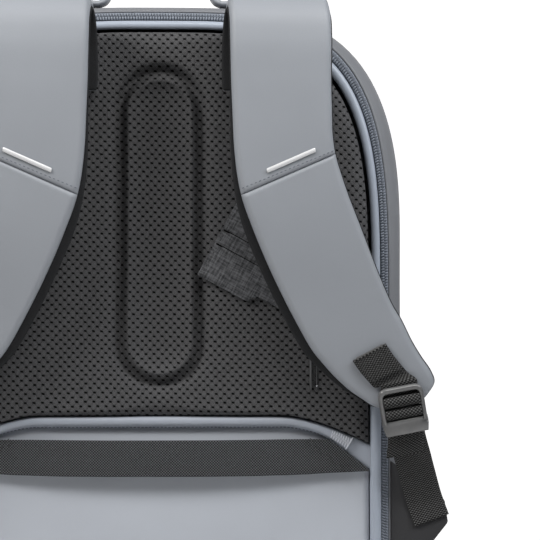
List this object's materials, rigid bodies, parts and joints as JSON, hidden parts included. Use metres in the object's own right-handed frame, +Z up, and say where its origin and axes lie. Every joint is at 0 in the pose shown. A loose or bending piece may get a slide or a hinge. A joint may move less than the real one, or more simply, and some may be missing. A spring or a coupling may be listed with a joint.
{
  "type": "anti theft backpack",
  "caption": "Backpack whose main zip lies against the wearer's back: hollow shell, mesh back panel with air channel, padded shoulder straps with ladder buckles, luggage strap and carry handle.",
  "frame": {"origin": "centre of the flat base", "axes": "+Z up, -Y out of the mesh back panel toward the wearer, +X to the right when looking at that panel"},
  "size_m": [0.3938, 0.2079, 0.4993],
  "materials": {
    "shell_cloth": "matt coated cloth",
    "coated_cloth": "smooth satin coated cloth over foam",
    "air_mesh": "open spacer mesh",
    "binding": "satin coated binding",
    "piping": "satin coated piping",
    "zip_coil": "coil and woven tape",
    "zip_metal": "satin",
    "luggage_webbing": "fine ribbed webbing",
    "melange_cloth": "woven melange",
    "lining_cloth": "fine grained knit",
    "reflective_film": "retroreflective film",
    "strap_webbing": "ribbed webbing",
    "wing_cloth": "woven cloth",
    "buckle_plastic": "satin moulded acetal"
  },
  "bodies": {
    "root": {"shell": "shell_cloth", "back_mesh_panel": "air_mesh", "lower_back_panel": "coated_cloth", "arch_binding": "binding", "edge_piping": "piping", "main_zip": "zip_coil", "luggage_strap": "luggage_webbing", "main_zip_slider": "zip_metal", "card_pocket": "melange_cloth", "pocket_zip": "zip_coil", "carry_handle": "coated_cloth", "strap_cover_upper_right": "coated_cloth", "strap_cover_lower_right": "coated_cloth", "strap_lining_right": "lining_cloth", "reflective_tab_right": "reflective_film", "strap_webbing_right": "strap_webbing", "adjuster_webbing_right": "strap_webbing", "anchor_wing_right": "wing_cloth", "ladder_buckle_right": "buckle_plastic", "strap_cover_upper_left": "coated_cloth", "strap_cover_lower_left": "coated_cloth", "strap_lining_left": "lining_cloth", "reflective_tab_left": "reflective_film", "strap_webbing_left": "strap_webbing", "adjuster_webbing_left": "strap_webbing", "anchor_wing_left": "wing_cloth", "ladder_buckle_left": "buckle_plastic"}
  },
  "joints": []
}
